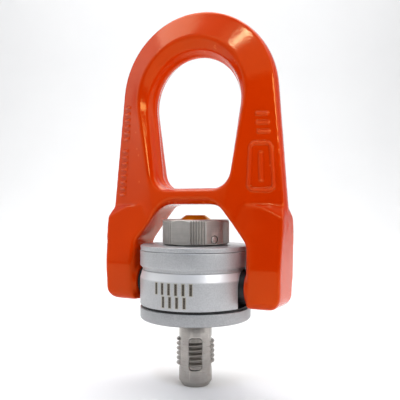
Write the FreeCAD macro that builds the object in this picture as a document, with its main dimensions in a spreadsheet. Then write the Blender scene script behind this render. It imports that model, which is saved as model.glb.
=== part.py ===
import FreeCAD, Part
import math
import os
import re
import Sketcher
from FreeCAD import Placement, Rotation, Vector

# Swivel hoist ring with a push-button expanding thread (M16), in millimetres.
# +Z runs up along the stud and z = 0 is the seating face under the base flange.
# The lifting ring lies in the XZ plane and tilts about its trunnions, which lie along X.

doc = FreeCAD.newDocument("swivel_hoist_ring")
sheet = doc.addObject("Spreadsheet::Sheet", "Sizes")

# Driving sizes: radii, heights above the seating face, and angles in degrees (_deg, _clock)
SIZES = {
    # chamfer shared by most turned edges
    "edge_break": 0.3,
    # base flange with its bush tube
    "base_radius": 23.1, "base_thick": 5.0, "base_round": 0.7,
    "tube_bore": 7.0, "tube_radius": 10.0, "tube_top": 28.4,
    "base_recess_radius": 9.5, "base_recess_depth": 1.8,
    # washers and bush
    "lower_washer_thick": 0.9, "lower_washer_radius": 22.2, "lower_washer_play": 0.1,
    "upper_washer_thick": 0.95, "upper_washer_radius": 17.8, "upper_washer_play": 0.15,
    "bush_inner": 10.05, "bush_outer": 11.0, "bush_low_gap": 0.2, "bush_high_gap": 0.1,
    # swivel body
    "body_radius": 23.1, "body_bottom": 6.0, "body_top": 28.25,
    "neck_radius": 22.1, "neck_low": 20.35, "neck_high": 21.15,
    "neck_groove": 0.25, "neck_groove_half": 0.2, "neck_lip": 0.1, "neck_slope": 1.0,
    "cone_low": 17.0, "body_recess_floor": 27.4, "body_recess_radius": 18.0,
    "axis_height": 14.0, "seat_radius": 7.1, "seat_end": 12.5,
    # top thrust plate
    "plate_radius": 22.9, "plate_bottom": 28.45, "plate_top": 30.3, "plate_bore": 7.1,
    "plate_low_chamfer": 0.15, "plate_high_chamfer": 0.35,
    # stud
    "shank_radius": 6.85, "shank_upper_radius": 6.6, "shank_end": -28.0,
    "shank_chamfer": 1.3, "shank_chamfer_rise": 2.0,
    "head_radius": 11.0, "head_bottom": 30.3, "head_top": 38.2,
    "cup_radius": 7.9, "cup_floor": 31.9,
    "spring_bore": 5.2, "spring_seat": 10.0, "guide_bore": 4.0,
    "relief_radius": 6.68, "relief_high": -7.2, "relief_low": -21.3, "relief_slope": 0.17,
    "window_half": 2.75, "window_low": -20.8, "window_high": -7.7, "window_round": 1.5,
    "stud_clock": 26.3, "grip_clock": 29.8,
    # end plug
    "plug_bore": 4.4, "plug_top": -25.2, "plug_chamfer": 0.4,
    "plug_socket_radius": 2.3, "plug_socket_height": 1.7,
    # stud retaining ring
    "clip_groove_radius": 6.3, "clip_low": 0.8, "clip_thick": 1.0, "clip_outer": 9.1,
    "clip_bore_play": 0.03, "clip_side_play": 0.05, "clip_gap_width": 3.2,
    # grip ring
    "grip_flats": 27.52, "grip_radius": 14.3, "grip_bottom": 30.75, "grip_top": 40.8,
    "grip_bore": 11.05, "lip_bottom": 38.3, "lip_bore": 6.75, "lip_chamfer": 0.45,
    "grip_chamfer": 0.75, "grip_chamfer_rise": 0.45,
    "grip_top_chamfer": 0.7, "grip_top_rise": 0.8,
    "pin_radius": 1.5, "pin_height": 32.9, "pin_inner": 9.0, "pin_outer": 13.65,
    "pin_hole_bevel": 0.3,
    "knurl_pitch_deg": 4.3, "knurl_depth": 0.38, "knurl_half": 0.36,
    # button
    "button_radius": 6.5, "button_top": 42.6, "button_shoulder": 40.75,
    "button_crown": 3.95, "crown_chamfer": 0.35, "crown_drop": 0.15,
    "button_flange": 7.6, "button_flange_low": 36.2, "button_flange_high": 38.2,
    "button_socket": 2.5, "button_socket_top": 39.4,
    # pusher rod
    "rod_radius": 2.5, "rod_top": 39.3,
    "rod_guide": 3.9, "rod_guide_low": -1.5, "rod_guide_high": 8.0,
    "rod_neck": 1.5, "cone_radius": 3.75, "cone_wide": -15.8, "cone_narrow": -9.8,
    "cone_land": 0.3, "cone_foot": 0.4, "rod_end": -21.6,
    # return spring
    "spring_wire": 0.5, "spring_mean": 4.55, "spring_top": 36.15, "spring_turns": 9.0,
    # thread segments
    "thread_radius": 7.95, "thread_pitch": 2.0, "thread_depth": 1.3, "thread_start": -9.0,
    "thread_crest_half": 0.14, "thread_root_sink": 0.25, "thread_flank_deg": 30.0,
    "segment_half": 2.6, "segment_low": -20.6, "segment_high": -7.9, "segment_round": 1.35,
    "segment_relief": 5.05, "segment_relief_low": -19.6, "segment_relief_high": -15.75,
    "segment_cone_high": -13.0, "segment_cone_play": 0.03, "segment_bore": 2.75,
    "segment_mitre": 1.25,
    "tab_inner": 2.8, "tab_outer": 3.85, "tab_length": 2.5, "tab_low": -22.9,
    "tab_overlap": 0.8, "tab_groove_half": 0.34,
    # wire rings round the thread segments
    "ring_wire": 0.3, "ring_mean": 3.55, "ring_gap": 0.8,
    "upper_ring_height": -6.4, "lower_ring_height": -22.0,
    # lifting ring: bow outside
    "bow_centre": 92.6, "bow_radius": 34.9, "bow_half_thick": 8.2, "bow_edge_half": 3.4,
    "leg_lean_deg": 4.95, "parting_rise": 0.4, "bow_foot": 40.0,
    # lifting ring: eye at mid thickness, at its rim and at the ridge line
    "eye_crown_centre": 89.1, "eye_crown_radius": 20.0, "eye_lean_deg": 7.0,
    "eye_bottom": 54.0, "eye_corner": 7.0,
    "rim_centre": 89.75, "rim_radius": 21.75, "rim_lean_deg": 8.65,
    "rim_bottom": 53.55, "rim_corner": 8.0, "rim_half": 5.4,
    "ridge_centre": 91.2, "ridge_radius": 24.6, "ridge_lean_deg": 10.5,
    "ridge_bottom": 52.2, "ridge_corner": 8.8, "ridge_flat": 0.4,
    # lifting ring: legs and arch
    "leg_inner": 25.3, "leg_outer": 39.9, "leg_bottom": 6.0,
    "leg_block_start": 17.0, "leg_block_top": 46.5, "sole_inset": 0.6, "sole_round": 5.4,
    "arch_top": 47.0, "arch_ease": 7.6, "arch_top_ease": 5.8,
    "arch_corner": 31.07, "arch_flat": 13.14, "arch_round": 10.0, "arch_low_round": 6.0,
    # lifting ring: bosses, trunnions and sleeves
    "boss_radius": 8.2, "boss_face": 24.3, "trunnion_core": 5.5, "trunnion_end": 13.3,
    "sleeve_radius": 7.0, "sleeve_end": 13.0, "ring_lean_deg": 1.6,
}
for row, (alias, number) in enumerate(SIZES.items(), 1):
    sheet.set("A%d" % row, alias)
    sheet.set("B%d" % row, str(number))
    sheet.setAlias("B%d" % row, alias)
doc.recompute()

ORIGIN = Vector(0, 0, 0)
AXIS_X = Vector(1, 0, 0)
AXIS_Z = Vector(0, 0, 1)
ALONG_X = Rotation(Vector(0, 1, 0), 90)

parts = []


# ---------------------------------------------------------------- formulas and objects
def size(alias):
    return float(sheet.get(alias))


def expr(text):
    """The formula with its size names turned into references to the sheet."""
    def refer(match):
        word = match.group()
        return "Sizes." + word if word in SIZES else word
    return re.sub(r"[A-Za-z_]\w*", refer, text)


def value(text):
    """The number a formula gives, for sums and differences of sizes and numbers."""
    total = 0.0
    for sign, term in re.findall(r"([+-]?)([\w.]+)", text):
        number = size(term) if term in SIZES else float(term)
        total += -number if sign == "-" else number
    return total


def keep(obj, label, placement=None):
    """Marks an object as a finished piece."""
    obj.Label = label
    if placement is not None:
        obj.Placement = placement
    parts.append(obj)


def about_z(angle):
    return Placement(ORIGIN, Rotation(AXIS_Z, angle))


def turned(name, profile):
    """A body turned about Z; profile is a list of (radius, height) formulas."""
    body = doc.addObject("PartDesign::Body", name)
    sketch = body.newObject("Sketcher::SketchObject", name + "_profile")
    plane = [f for f in body.Origin.OriginFeatures if f.Role == "XZ_Plane"][0]
    sketch.AttachmentSupport = [(plane, "")]
    sketch.MapMode = "FlatFace"
    points = [Vector(value(radius), value(height), 0) for radius, height in profile]
    count = len(points)
    for k in range(count):
        sketch.addGeometry(Part.LineSegment(points[k], points[(k + 1) % count]), False)
    for k in range(count):
        sketch.addConstraint(Sketcher.Constraint("Coincident", k, 2, (k + 1) % count, 1))
    for k, (radius, height) in enumerate(profile):
        for kind, text, number in (("DistanceX", radius, points[k].x),
                                   ("DistanceY", height, points[k].y)):
            index = sketch.addConstraint(Sketcher.Constraint(kind, -1, 1, k, 1, number))
            sketch.setExpression("Constraints[%d]" % index, expr(text))
    revolution = body.newObject("PartDesign::Revolution", name + "_turn")
    revolution.Profile = sketch
    revolution.ReferenceAxis = (sketch, ["V_Axis"])
    revolution.Angle = 360.0
    doc.recompute()
    return body


def put_at(obj, base):
    for axis, text in zip("xyz", base):
        obj.setExpression("Placement.Base." + axis, expr(text))


def cylinder_x(name, radius, length, start, height="axis_height"):
    """A cylinder along +X from x = start, at the given height."""
    cylinder = doc.addObject("Part::Cylinder", name)
    cylinder.setExpression("Radius", expr(radius))
    cylinder.setExpression("Height", expr(length))
    cylinder.Placement = Placement(ORIGIN, ALONG_X)
    put_at(cylinder, (start, "0", height))
    return cylinder


def box(name, dims, base):
    block = doc.addObject("Part::Box", name)
    for prop, text in zip(("Length", "Width", "Height"), dims):
        block.setExpression(prop, expr(text))
    put_at(block, base)
    return block


def hexagon(name, radius, height, bottom):
    prism = doc.addObject("Part::Prism", name)
    prism.Polygon = 6
    prism.setExpression("Circumradius", expr(radius))
    prism.setExpression("Height", expr(height))
    prism.setExpression("Placement.Base.z", expr(bottom))
    return prism


def pair(kind, name, base, tool):
    """A Part::Cut or Part::Common of two objects."""
    result = doc.addObject(kind, name)
    result.Base = base
    result.Tool = tool
    return result


def cut(name, base, tool):
    return pair("Part::Cut", name, base, tool)


def fuse(name, shapes):
    result = doc.addObject("Part::MultiFuse", name)
    result.Shapes = shapes
    return result


def feature(name, shape):
    result = doc.addObject("Part::Feature", name)
    result.Shape = shape
    return result


# ---------------------------------------------------------------- bare shapes
def line(start, end):
    return Part.LineSegment(start, end).toShape()


def arc(start, middle, end):
    return Part.Arc(start, middle, end).toShape()


def closed(points):
    return Part.makePolygon(points + [points[0]])


def prism_solid(points, sweep):
    return Part.Face(closed(points)).extrude(sweep)


def lofted(first, second):
    """A ruled solid between two wires."""
    return Part.makeLoft([first, second], True, True)


def across(point):
    """The point mirrored to the other side of x = 0."""
    return Vector(-point.x, point.y, point.z)


def rounded_bar(half, low, high, rounding):
    """A bar along +X from the axis, its section a rounded rectangle."""
    reach = 12.0
    flat = half - rounding
    floor, ceiling = low + rounding, high - rounding
    bulge = rounding * math.sin(math.pi / 4)

    def at(y, z):
        return Vector(0, y, z)

    edges = [
        line(at(-flat, low), at(flat, low)),
        arc(at(flat, low), at(flat + bulge, floor - bulge), at(half, floor)),
        line(at(half, floor), at(half, ceiling)),
        arc(at(half, ceiling), at(flat + bulge, ceiling + bulge), at(flat, high)),
        line(at(flat, high), at(-flat, high)),
        arc(at(-flat, high), at(-flat - bulge, ceiling + bulge), at(-half, ceiling)),
        line(at(-half, ceiling), at(-half, floor)),
        arc(at(-half, floor), at(-flat - bulge, floor - bulge), at(-flat, low)),
    ]
    return Part.Face(Part.Wire(edges)).extrude(Vector(reach, 0, 0))


# ---------------------------------------------------------------- base, washers and body
def make_base_flange():
    keep(turned("base_flange_body", [
        ("base_recess_radius", "0"),
        ("base_radius-base_round", "0"),
        ("base_radius", "base_round"),
        ("base_radius", "base_thick-edge_break"),
        ("base_radius-edge_break", "base_thick"),
        ("tube_radius", "base_thick"),
        ("tube_radius", "tube_top"),
        ("tube_bore", "tube_top"),
        ("tube_bore", "base_recess_depth"),
        ("base_recess_radius", "base_recess_depth"),
    ]), "base_flange_bush")


def make_lower_washer():
    """Slide washer between the base flange and the swivel body."""
    keep(turned("lower_washer_body", [
        ("tube_radius+lower_washer_play", "base_thick"),
        ("lower_washer_radius", "base_thick"),
        ("lower_washer_radius", "base_thick+lower_washer_thick"),
        ("tube_radius+lower_washer_play", "base_thick+lower_washer_thick"),
    ]), "lower_slide_washer")


def make_swivel_body():
    blank = turned("swivel_body_blank", [
        ("bush_outer", "body_bottom"),
        ("body_radius-edge_break", "body_bottom"),
        ("body_radius", "body_bottom+edge_break"),
        ("body_radius", "cone_low"),
        ("neck_radius+neck_lip", "neck_low-neck_groove_half"),
        ("neck_radius-neck_groove", "neck_low"),
        ("neck_radius", "neck_low+neck_groove_half"),
        ("neck_radius", "neck_high"),
        ("body_radius", "neck_high+neck_slope"),
        ("body_radius", "body_top-edge_break"),
        ("body_radius-edge_break", "body_top"),
        ("body_recess_radius", "body_top"),
        ("body_recess_radius", "body_recess_floor"),
        ("bush_outer", "body_recess_floor"),
    ])
    # trunnion seats: round above and open downwards, one on each side
    starts = (("right", "seat_end"), ("left", "0-seat_end-body_radius"))
    arches = [cylinder_x("seat_arch_" + side, "seat_radius", "body_radius", start)
              for side, start in starts]
    gates = [box("seat_gate_" + side, ("body_radius", "seat_radius*2", "axis_height"),
                 (start, "0-seat_radius", "0"))
             for side, start in starts]
    seats = fuse("trunnion_seats", arches + gates)
    keep(cut("swivel_body_cut", blank, seats), "swivel_body")


def make_swivel_bush():
    keep(turned("swivel_bush_body", [
        ("bush_inner", "body_bottom+bush_low_gap"),
        ("bush_outer", "body_bottom+bush_low_gap"),
        ("bush_outer", "body_recess_floor-bush_high_gap"),
        ("bush_inner", "body_recess_floor-bush_high_gap"),
    ]), "swivel_bush")


def make_upper_washer():
    keep(turned("upper_washer_body", [
        ("tube_radius+upper_washer_play", "plate_bottom-upper_washer_thick"),
        ("upper_washer_radius", "plate_bottom-upper_washer_thick"),
        ("upper_washer_radius", "plate_bottom"),
        ("tube_radius+upper_washer_play", "plate_bottom"),
    ]), "upper_slide_washer")


def make_thrust_plate():
    keep(turned("thrust_plate_body", [
        ("plate_bore", "tube_top"),
        ("tube_radius", "tube_top"),
        ("tube_radius", "plate_bottom"),
        ("plate_radius-plate_low_chamfer", "plate_bottom"),
        ("plate_radius", "plate_bottom+plate_low_chamfer"),
        ("plate_radius", "plate_top-plate_high_chamfer"),
        ("plate_radius-plate_high_chamfer", "plate_top"),
        ("plate_bore", "plate_top"),
    ]), "top_thrust_plate")


# ---------------------------------------------------------------- expanding stud
def lock_pins(names):
    """Two cylinders reaching outwards along +X and -X at pin height."""
    return [cylinder_x(name, "pin_radius", "pin_outer-pin_inner", start, "pin_height")
            for name, start in zip(names, ("pin_inner", "0-pin_outer"))]


def make_stud():
    blank = turned("stud_blank", [
        ("plug_bore", "shank_end"),
        ("shank_radius-shank_chamfer", "shank_end"),
        ("shank_radius", "shank_end+shank_chamfer_rise"),
        ("shank_radius", "relief_low-relief_slope"),
        ("relief_radius", "relief_low"),
        ("relief_radius", "relief_high"),
        ("shank_radius", "relief_high+relief_slope"),
        ("shank_radius", "0"),
        ("shank_upper_radius", "0"),
        ("shank_upper_radius", "clip_low-clip_side_play"),
        ("clip_groove_radius", "clip_low-clip_side_play"),
        ("clip_groove_radius", "clip_low+clip_thick+clip_side_play"),
        ("shank_upper_radius", "clip_low+clip_thick+clip_side_play"),
        ("shank_upper_radius", "head_bottom"),
        ("head_radius-edge_break", "head_bottom"),
        ("head_radius", "head_bottom+edge_break"),
        ("head_radius", "head_top"),
        ("cup_radius", "head_top"),
        ("cup_radius", "cup_floor"),
        ("spring_bore", "cup_floor"),
        ("spring_bore", "spring_seat"),
        ("guide_bore", "spring_seat"),
        ("guide_bore", "plug_top"),
        ("plug_bore", "plug_top"),
    ])
    # four windows for the thread segments
    bar = rounded_bar(size("window_half"), size("window_low"), size("window_high"),
                      size("window_round"))
    windows = bar
    for k in (1, 2, 3):
        other = bar.copy()
        other.rotate(ORIGIN, AXIS_Z, 90 * k)
        windows = windows.fuse(other)
    windowed = cut("expanding_stud_cut", blank, feature("stud_windows", windows))
    # shallow blind sockets in the head for the lock pins
    socket_pair = fuse("pin_pair", lock_pins(("pin_socket_a", "pin_socket_b")))
    doc.recompute()
    sockets = socket_pair.Shape.copy()
    sockets.rotate(ORIGIN, AXIS_Z, size("grip_clock") - size("stud_clock") - 60.0)
    stud = cut("expanding_stud_sockets", windowed, feature("pins_turned", sockets))
    keep(stud, "expanding_stud", about_z(size("stud_clock")))


def make_end_plug():
    """Closing plug with a hexagon socket."""
    blank = turned("plug_blank", [
        ("0", "shank_end"),
        ("plug_bore-plug_chamfer", "shank_end"),
        ("plug_bore", "shank_end+plug_chamfer"),
        ("plug_bore", "plug_top"),
        ("0", "plug_top"),
    ])
    socket = hexagon("plug_socket", "plug_socket_radius", "plug_socket_height",
                     "shank_end-0.1")
    keep(cut("end_plug_cut", blank, socket), "end_plug")


def make_retaining_ring():
    """Split ring that keeps the stud in the base flange."""
    blank = turned("clip_blank", [
        ("clip_groove_radius+clip_bore_play", "clip_low"),
        ("clip_outer", "clip_low"),
        ("clip_outer", "clip_low+clip_thick"),
        ("clip_groove_radius+clip_bore_play", "clip_low+clip_thick"),
    ])
    gap = box("clip_gap", ("12", "clip_gap_width", "3"), ("0", "0-clip_gap_width/2", "0"))
    keep(cut("stud_retaining_ring_cut", blank, gap), "stud_retaining_ring")


# ---------------------------------------------------------------- knurled hexagon grip ring
def knurl_grooves():
    """V grooves along Z, six about each corner of the hexagon."""
    radius, width = size("grip_radius"), size("knurl_half") * 1.6
    root, mouth = radius - size("knurl_depth"), radius + 0.3
    low, high = size("grip_bottom") - 1, size("grip_top") + 1
    grooves = []
    for corner in range(6):
        for k in range(-3, 3):
            groove = prism_solid(
                [Vector(root, 0, low), Vector(mouth, -width, low), Vector(mouth, width, low)],
                Vector(0, 0, high - low))
            angle = 60.0 * corner + (k + 0.5) * size("knurl_pitch_deg")
            groove.rotate(ORIGIN, AXIS_Z, angle)
            grooves.append(groove)
    return Part.makeCompound(grooves)


def pin_holes():
    """Bevelled holes in the middle of two opposite flats."""
    radius, height, bevel = size("pin_radius"), size("pin_height"), size("pin_hole_bevel")
    flat = size("grip_flats") / 2
    holes = []
    for angle in (30.0, 210.0):
        hole = Part.makeCylinder(radius, 8.0, Vector(size("pin_inner"), 0, height), AXIS_X)
        cone = Part.makeCone(radius, radius + bevel, bevel, Vector(flat - bevel, 0, height),
                             AXIS_X)
        mouth = Part.makeCylinder(radius + bevel, 3.0, Vector(flat, 0, height), AXIS_X)
        hole = hole.fuse([cone, mouth])
        hole.rotate(ORIGIN, AXIS_Z, angle)
        holes.append(hole)
    return Part.makeCompound(holes)


def make_grip_ring():
    blank = turned("grip_turned", [
        ("grip_bore", "grip_bottom"),
        ("grip_radius-grip_chamfer", "grip_bottom"),
        ("grip_radius", "grip_bottom+grip_chamfer_rise"),
        ("grip_radius", "grip_top-grip_top_rise"),
        ("grip_radius-grip_top_chamfer", "grip_top"),
        ("lip_bore+lip_chamfer", "grip_top"),
        ("lip_bore", "grip_top-lip_chamfer"),
        ("lip_bore", "lip_bottom"),
        ("grip_bore", "lip_bottom"),
    ])
    flats = hexagon("grip_hexagon", "grip_flats / sqrt(3)", "grip_top-grip_bottom+2",
                    "grip_bottom-1")
    six_sided = pair("Part::Common", "grip_hex_turned", blank, flats)
    knurled = cut("grip_knurled", six_sided, feature("knurl_grooves", knurl_grooves()))
    grip = cut("hex_grip_ring_cut", knurled, feature("pin_holes", pin_holes()))
    # the holes, made at 30 degrees, come to the lock pins at grip_clock - 60
    keep(grip, "hex_grip_ring", about_z(size("grip_clock") - 90.0))


def make_lock_pins():
    """Pins that join the grip ring to the stud head."""
    rounds = lock_pins(("pin_front_round", "pin_back_round"))
    for pin, label in zip(rounds, ("grip_pin_front", "grip_pin_back")):
        holder = doc.addObject("Part::Compound", label + "_holder")
        holder.Links = [pin]
        keep(holder, label, about_z(size("grip_clock") - 60.0))


# ---------------------------------------------------------------- button, rod and spring
def make_push_button():
    keep(turned("push_button_body", [
        ("0", "button_socket_top"),
        ("button_socket", "button_socket_top"),
        ("button_socket", "button_flange_low"),
        ("button_flange", "button_flange_low"),
        ("button_flange", "button_flange_high"),
        ("button_radius", "button_flange_high"),
        ("button_radius", "button_shoulder-edge_break"),
        ("button_radius-edge_break", "button_shoulder"),
        ("button_crown+crown_chamfer", "button_top-crown_drop"),
        ("button_crown", "button_top"),
        ("0", "button_top"),
    ]), "push_button")


def make_pusher_rod():
    """Rod with the cone that spreads the thread segments."""
    keep(turned("pusher_rod_body", [
        ("0", "rod_end"),
        ("rod_neck-edge_break", "rod_end"),
        ("rod_neck", "rod_end+edge_break"),
        ("rod_neck", "cone_wide-cone_foot"),
        ("cone_radius", "cone_wide-cone_land"),
        ("cone_radius", "cone_wide"),
        ("rod_neck", "cone_narrow"),
        ("rod_neck", "rod_guide_low"),
        ("rod_guide", "rod_guide_low"),
        ("rod_guide", "rod_guide_high"),
        ("rod_radius", "rod_guide_high"),
        ("rod_radius", "rod_top"),
        ("0", "rod_top"),
    ]), "pusher_rod")


def make_return_spring():
    wire, mean = size("spring_wire"), size("spring_mean")
    low = size("spring_seat") + wire
    high = size("spring_top") - wire
    rise = (high - low) / size("spring_turns")
    coil = Part.makeHelix(rise, high - low, mean)
    coil.translate(Vector(0, 0, low))
    heading = Vector(0, 1, rise / (2 * math.pi * mean))
    section = Part.Wire(Part.makeCircle(wire, Vector(mean, 0, low), heading))
    sweep = Part.Wire(coil.Edges).makePipeShell([section], True, True)
    keep(feature("return_spring_coil", sweep), "return_spring")


# ---------------------------------------------------------------- thread segments
def tooth_ring(height):
    """A quarter ring of one tooth, tipped to the lead angle where it crosses +X."""
    crest, depth = size("thread_radius"), size("thread_depth")
    crest_half, sink = size("thread_crest_half"), size("thread_root_sink")
    root = crest - depth - sink
    root_half = crest_half + (depth + sink) * math.tan(math.radians(size("thread_flank_deg")))
    section = Part.Face(closed([
        Vector(root, 0, height - root_half), Vector(crest, 0, height - crest_half),
        Vector(crest, 0, height + crest_half), Vector(root, 0, height + root_half)]))
    ring = section.revolve(ORIGIN, AXIS_Z, 90)
    ring.rotate(ORIGIN, AXIS_Z, -45)
    mean = crest - depth / 2
    lead = math.degrees(math.atan(size("thread_pitch") / (2 * math.pi * mean)))
    ring.rotate(Vector(0, 0, height), AXIS_X, lead)
    return ring


def away(shape):
    """Turns a round shape's seam line to the far side of the axis."""
    shape.rotate(ORIGIN, AXIS_Z, 180)
    return shape


def round_z(radius, low, high):
    return away(Part.makeCylinder(radius, high - low, Vector(0, 0, low)))


def tooth_heights(step):
    """Heights of the teeth on a segment standing step quarter pitches up the thread."""
    pitch = size("thread_pitch")
    first = size("thread_start") - pitch + step * pitch / 4.0
    heights = []
    height = first
    while height > size("segment_low") + 1.2:
        heights.append(height)
        height -= pitch
    if first + pitch < size("segment_high") - 0.8:
        heights.append(first + pitch)
    return heights


def segment_hollows():
    """What is open inside the segment, zone by zone upwards."""
    low, high = size("segment_low"), size("segment_high")
    relief_low, relief_high = size("segment_relief_low"), size("segment_relief_high")
    cone_high = size("segment_cone_high")
    cone_start = size("cone_wide")
    slope = (size("cone_radius") - size("rod_neck")) / (size("cone_narrow") - cone_start)

    def cone_at(z):
        return size("cone_radius") - slope * (z - cone_start) + size("segment_cone_play")

    return [
        round_z(size("tab_inner"), low - 1, relief_low),
        round_z(size("segment_relief"), relief_low, relief_high),
        away(Part.makeCone(cone_at(relief_high), cone_at(cone_high), cone_high - relief_high,
                           Vector(0, 0, relief_high))),
        round_z(size("segment_bore"), cone_high, high + 1),
    ]


def segment_tab(low, high, ring_height):
    """Tab behind a window's end, grooved for a wire ring."""
    half, groove = size("segment_half"), size("tab_groove_half")
    outer = size("tab_outer")
    groove_low, groove_high = ring_height - groove, ring_height + groove
    tab = round_z(outer, low, high).cut(round_z(size("tab_inner"), low, high))
    notch = round_z(outer + 0.2, groove_low, groove_high).cut(
        round_z(size("ring_mean") - groove, groove_low, groove_high))
    tab = tab.cut(notch)
    side = Part.makeBox(6, 2 * half, high - low, Vector(0, -half, low))
    return tab.common(side)


def segment_shape(step):
    low, high = size("segment_low"), size("segment_high")
    bar = rounded_bar(size("segment_half"), low, high, size("segment_round"))
    core = round_z(size("thread_radius") - size("thread_depth"), low, high)
    segment = core.fuse([tooth_ring(height) for height in tooth_heights(step)]).common(bar)
    for hollow in segment_hollows():
        segment = segment.cut(hollow)
    overlap = size("tab_overlap")
    for tab_low, tab_high, ring_height in (
            (high - overlap, size("window_high") + size("tab_length"),
             size("upper_ring_height")),
            (size("tab_low"), low + overlap, size("lower_ring_height"))):
        segment = segment.fuse(segment_tab(tab_low, tab_high, ring_height))
    # mitre so that four segments can meet at the axis when they are pulled in
    tip = size("segment_mitre")
    wedge = prism_solid([Vector(tip, 0, -24), Vector(tip + 9, 9, -24), Vector(tip + 9, -9, -24)],
                        Vector(0, 0, 20))
    return segment.common(wedge).removeSplitter()


def make_thread_segments():
    for k, step in enumerate((2, 3, 0, 1)):
        label = "thread_segment_%d" % (k + 1)
        segment = feature(label + "_form", segment_shape(step))
        keep(segment, label, about_z(size("stud_clock") + 90.0 * k))


def make_segment_rings():
    """Split wire rings that pull the segments in."""
    for place in ("upper", "lower"):
        label = "segment_ring_" + place
        height = place + "_ring_height"
        torus = doc.addObject("Part::Torus", label + "_round")
        torus.setExpression("Radius1", expr("ring_mean"))
        torus.setExpression("Radius2", expr("ring_wire"))
        torus.setExpression("Placement.Base.z", expr(height))
        gap = box(label + "_gap", ("6", "ring_gap", "2"), ("0", "0-ring_gap/2", height + "-1"))
        split = cut(label + "_split", torus, gap)
        keep(split, label, about_z(size("stud_clock") + 45.0))


# ---------------------------------------------------------------- lifting ring: bow and eye
def bow_wire(radius, centre, lean_deg, y):
    """Arch outline at y; its legs spread downwards for a positive lean."""
    lean = math.radians(lean_deg)
    foot = size("bow_foot")
    tangent = Vector(radius * math.cos(lean), y, centre + radius * math.sin(lean))
    low = Vector(tangent.x + (tangent.z - foot) * math.tan(lean), y, foot)
    return Part.Wire([
        line(low, tangent),
        arc(tangent, Vector(0, y, centre + radius), across(tangent)),
        line(across(tangent), across(low)),
        line(across(low), low),
    ])


def eye_wire(radius, centre, lean_deg, bottom, corner, y):
    """Eye outline at y: sides draw together downwards, lower corners are round."""
    lean = math.radians(lean_deg)
    tangent = Vector(radius * math.cos(lean), y, centre - radius * math.sin(lean))
    # corner circle, tangent to the leaning side and to the bottom line
    corner_z = bottom + corner
    side_x = tangent.x - (tangent.z - corner_z) * math.tan(lean)
    corner_x = side_x - corner / math.cos(lean)

    def on_corner(angle):
        return Vector(corner_x + corner * math.cos(angle), y,
                      corner_z + corner * math.sin(angle))

    side_low = on_corner(-lean)
    middle = on_corner(math.radians(-90) + (math.radians(90) - lean) / 2)
    floor_end = Vector(corner_x, y, bottom)
    return Part.Wire([
        line(side_low, tangent),
        arc(tangent, Vector(0, y, centre + radius), across(tangent)),
        line(across(tangent), across(side_low)),
        arc(across(side_low), across(middle), across(floor_end)),
        line(across(floor_end), floor_end),
        arc(floor_end, middle, side_low),
    ])


def bow_solid():
    """The upper ring: outside lofted from mid thickness to both faces, eye cut through."""
    radius, centre, lean = size("bow_radius"), size("bow_centre"), size("leg_lean_deg")
    thick, edge = size("bow_half_thick"), size("bow_edge_half")
    ridge_radius, ridge_centre = size("ridge_radius"), size("ridge_centre")
    ridge_lean, flat = size("ridge_lean_deg"), size("ridge_flat")
    ridge_bottom, ridge_corner = size("ridge_bottom"), size("ridge_corner")
    past = 2.0
    layers = []
    holes = []
    for side in (1, -1):
        layers.append(lofted(bow_wire(radius + size("parting_rise"), centre, lean, 0.0),
                             bow_wire(radius, centre, lean, side * edge)))
        layers.append(lofted(bow_wire(radius, centre, lean, side * edge),
                             bow_wire(ridge_radius + flat, ridge_centre, -ridge_lean,
                                      side * thick)))
    for side in (1, -1):
        middle = eye_wire(size("eye_crown_radius"), size("eye_crown_centre"),
                          size("eye_lean_deg"), size("eye_bottom"), size("eye_corner"), 0.0)
        rim = eye_wire(size("rim_radius"), size("rim_centre"), size("rim_lean_deg"),
                       size("rim_bottom"), size("rim_corner"), side * size("rim_half"))
        ridge = eye_wire(ridge_radius - flat, ridge_centre, ridge_lean,
                         ridge_bottom, ridge_corner, side * thick)
        beyond = eye_wire(ridge_radius - flat + past, ridge_centre, ridge_lean,
                          ridge_bottom - past, ridge_corner + 0.5, side * (thick + past))
        holes += [lofted(middle, rim), lofted(rim, ridge), lofted(ridge, beyond)]
    bow = layers[0].fuse(layers[1:])
    return bow.cut(holes[0].fuse(holes[1:]))


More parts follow.
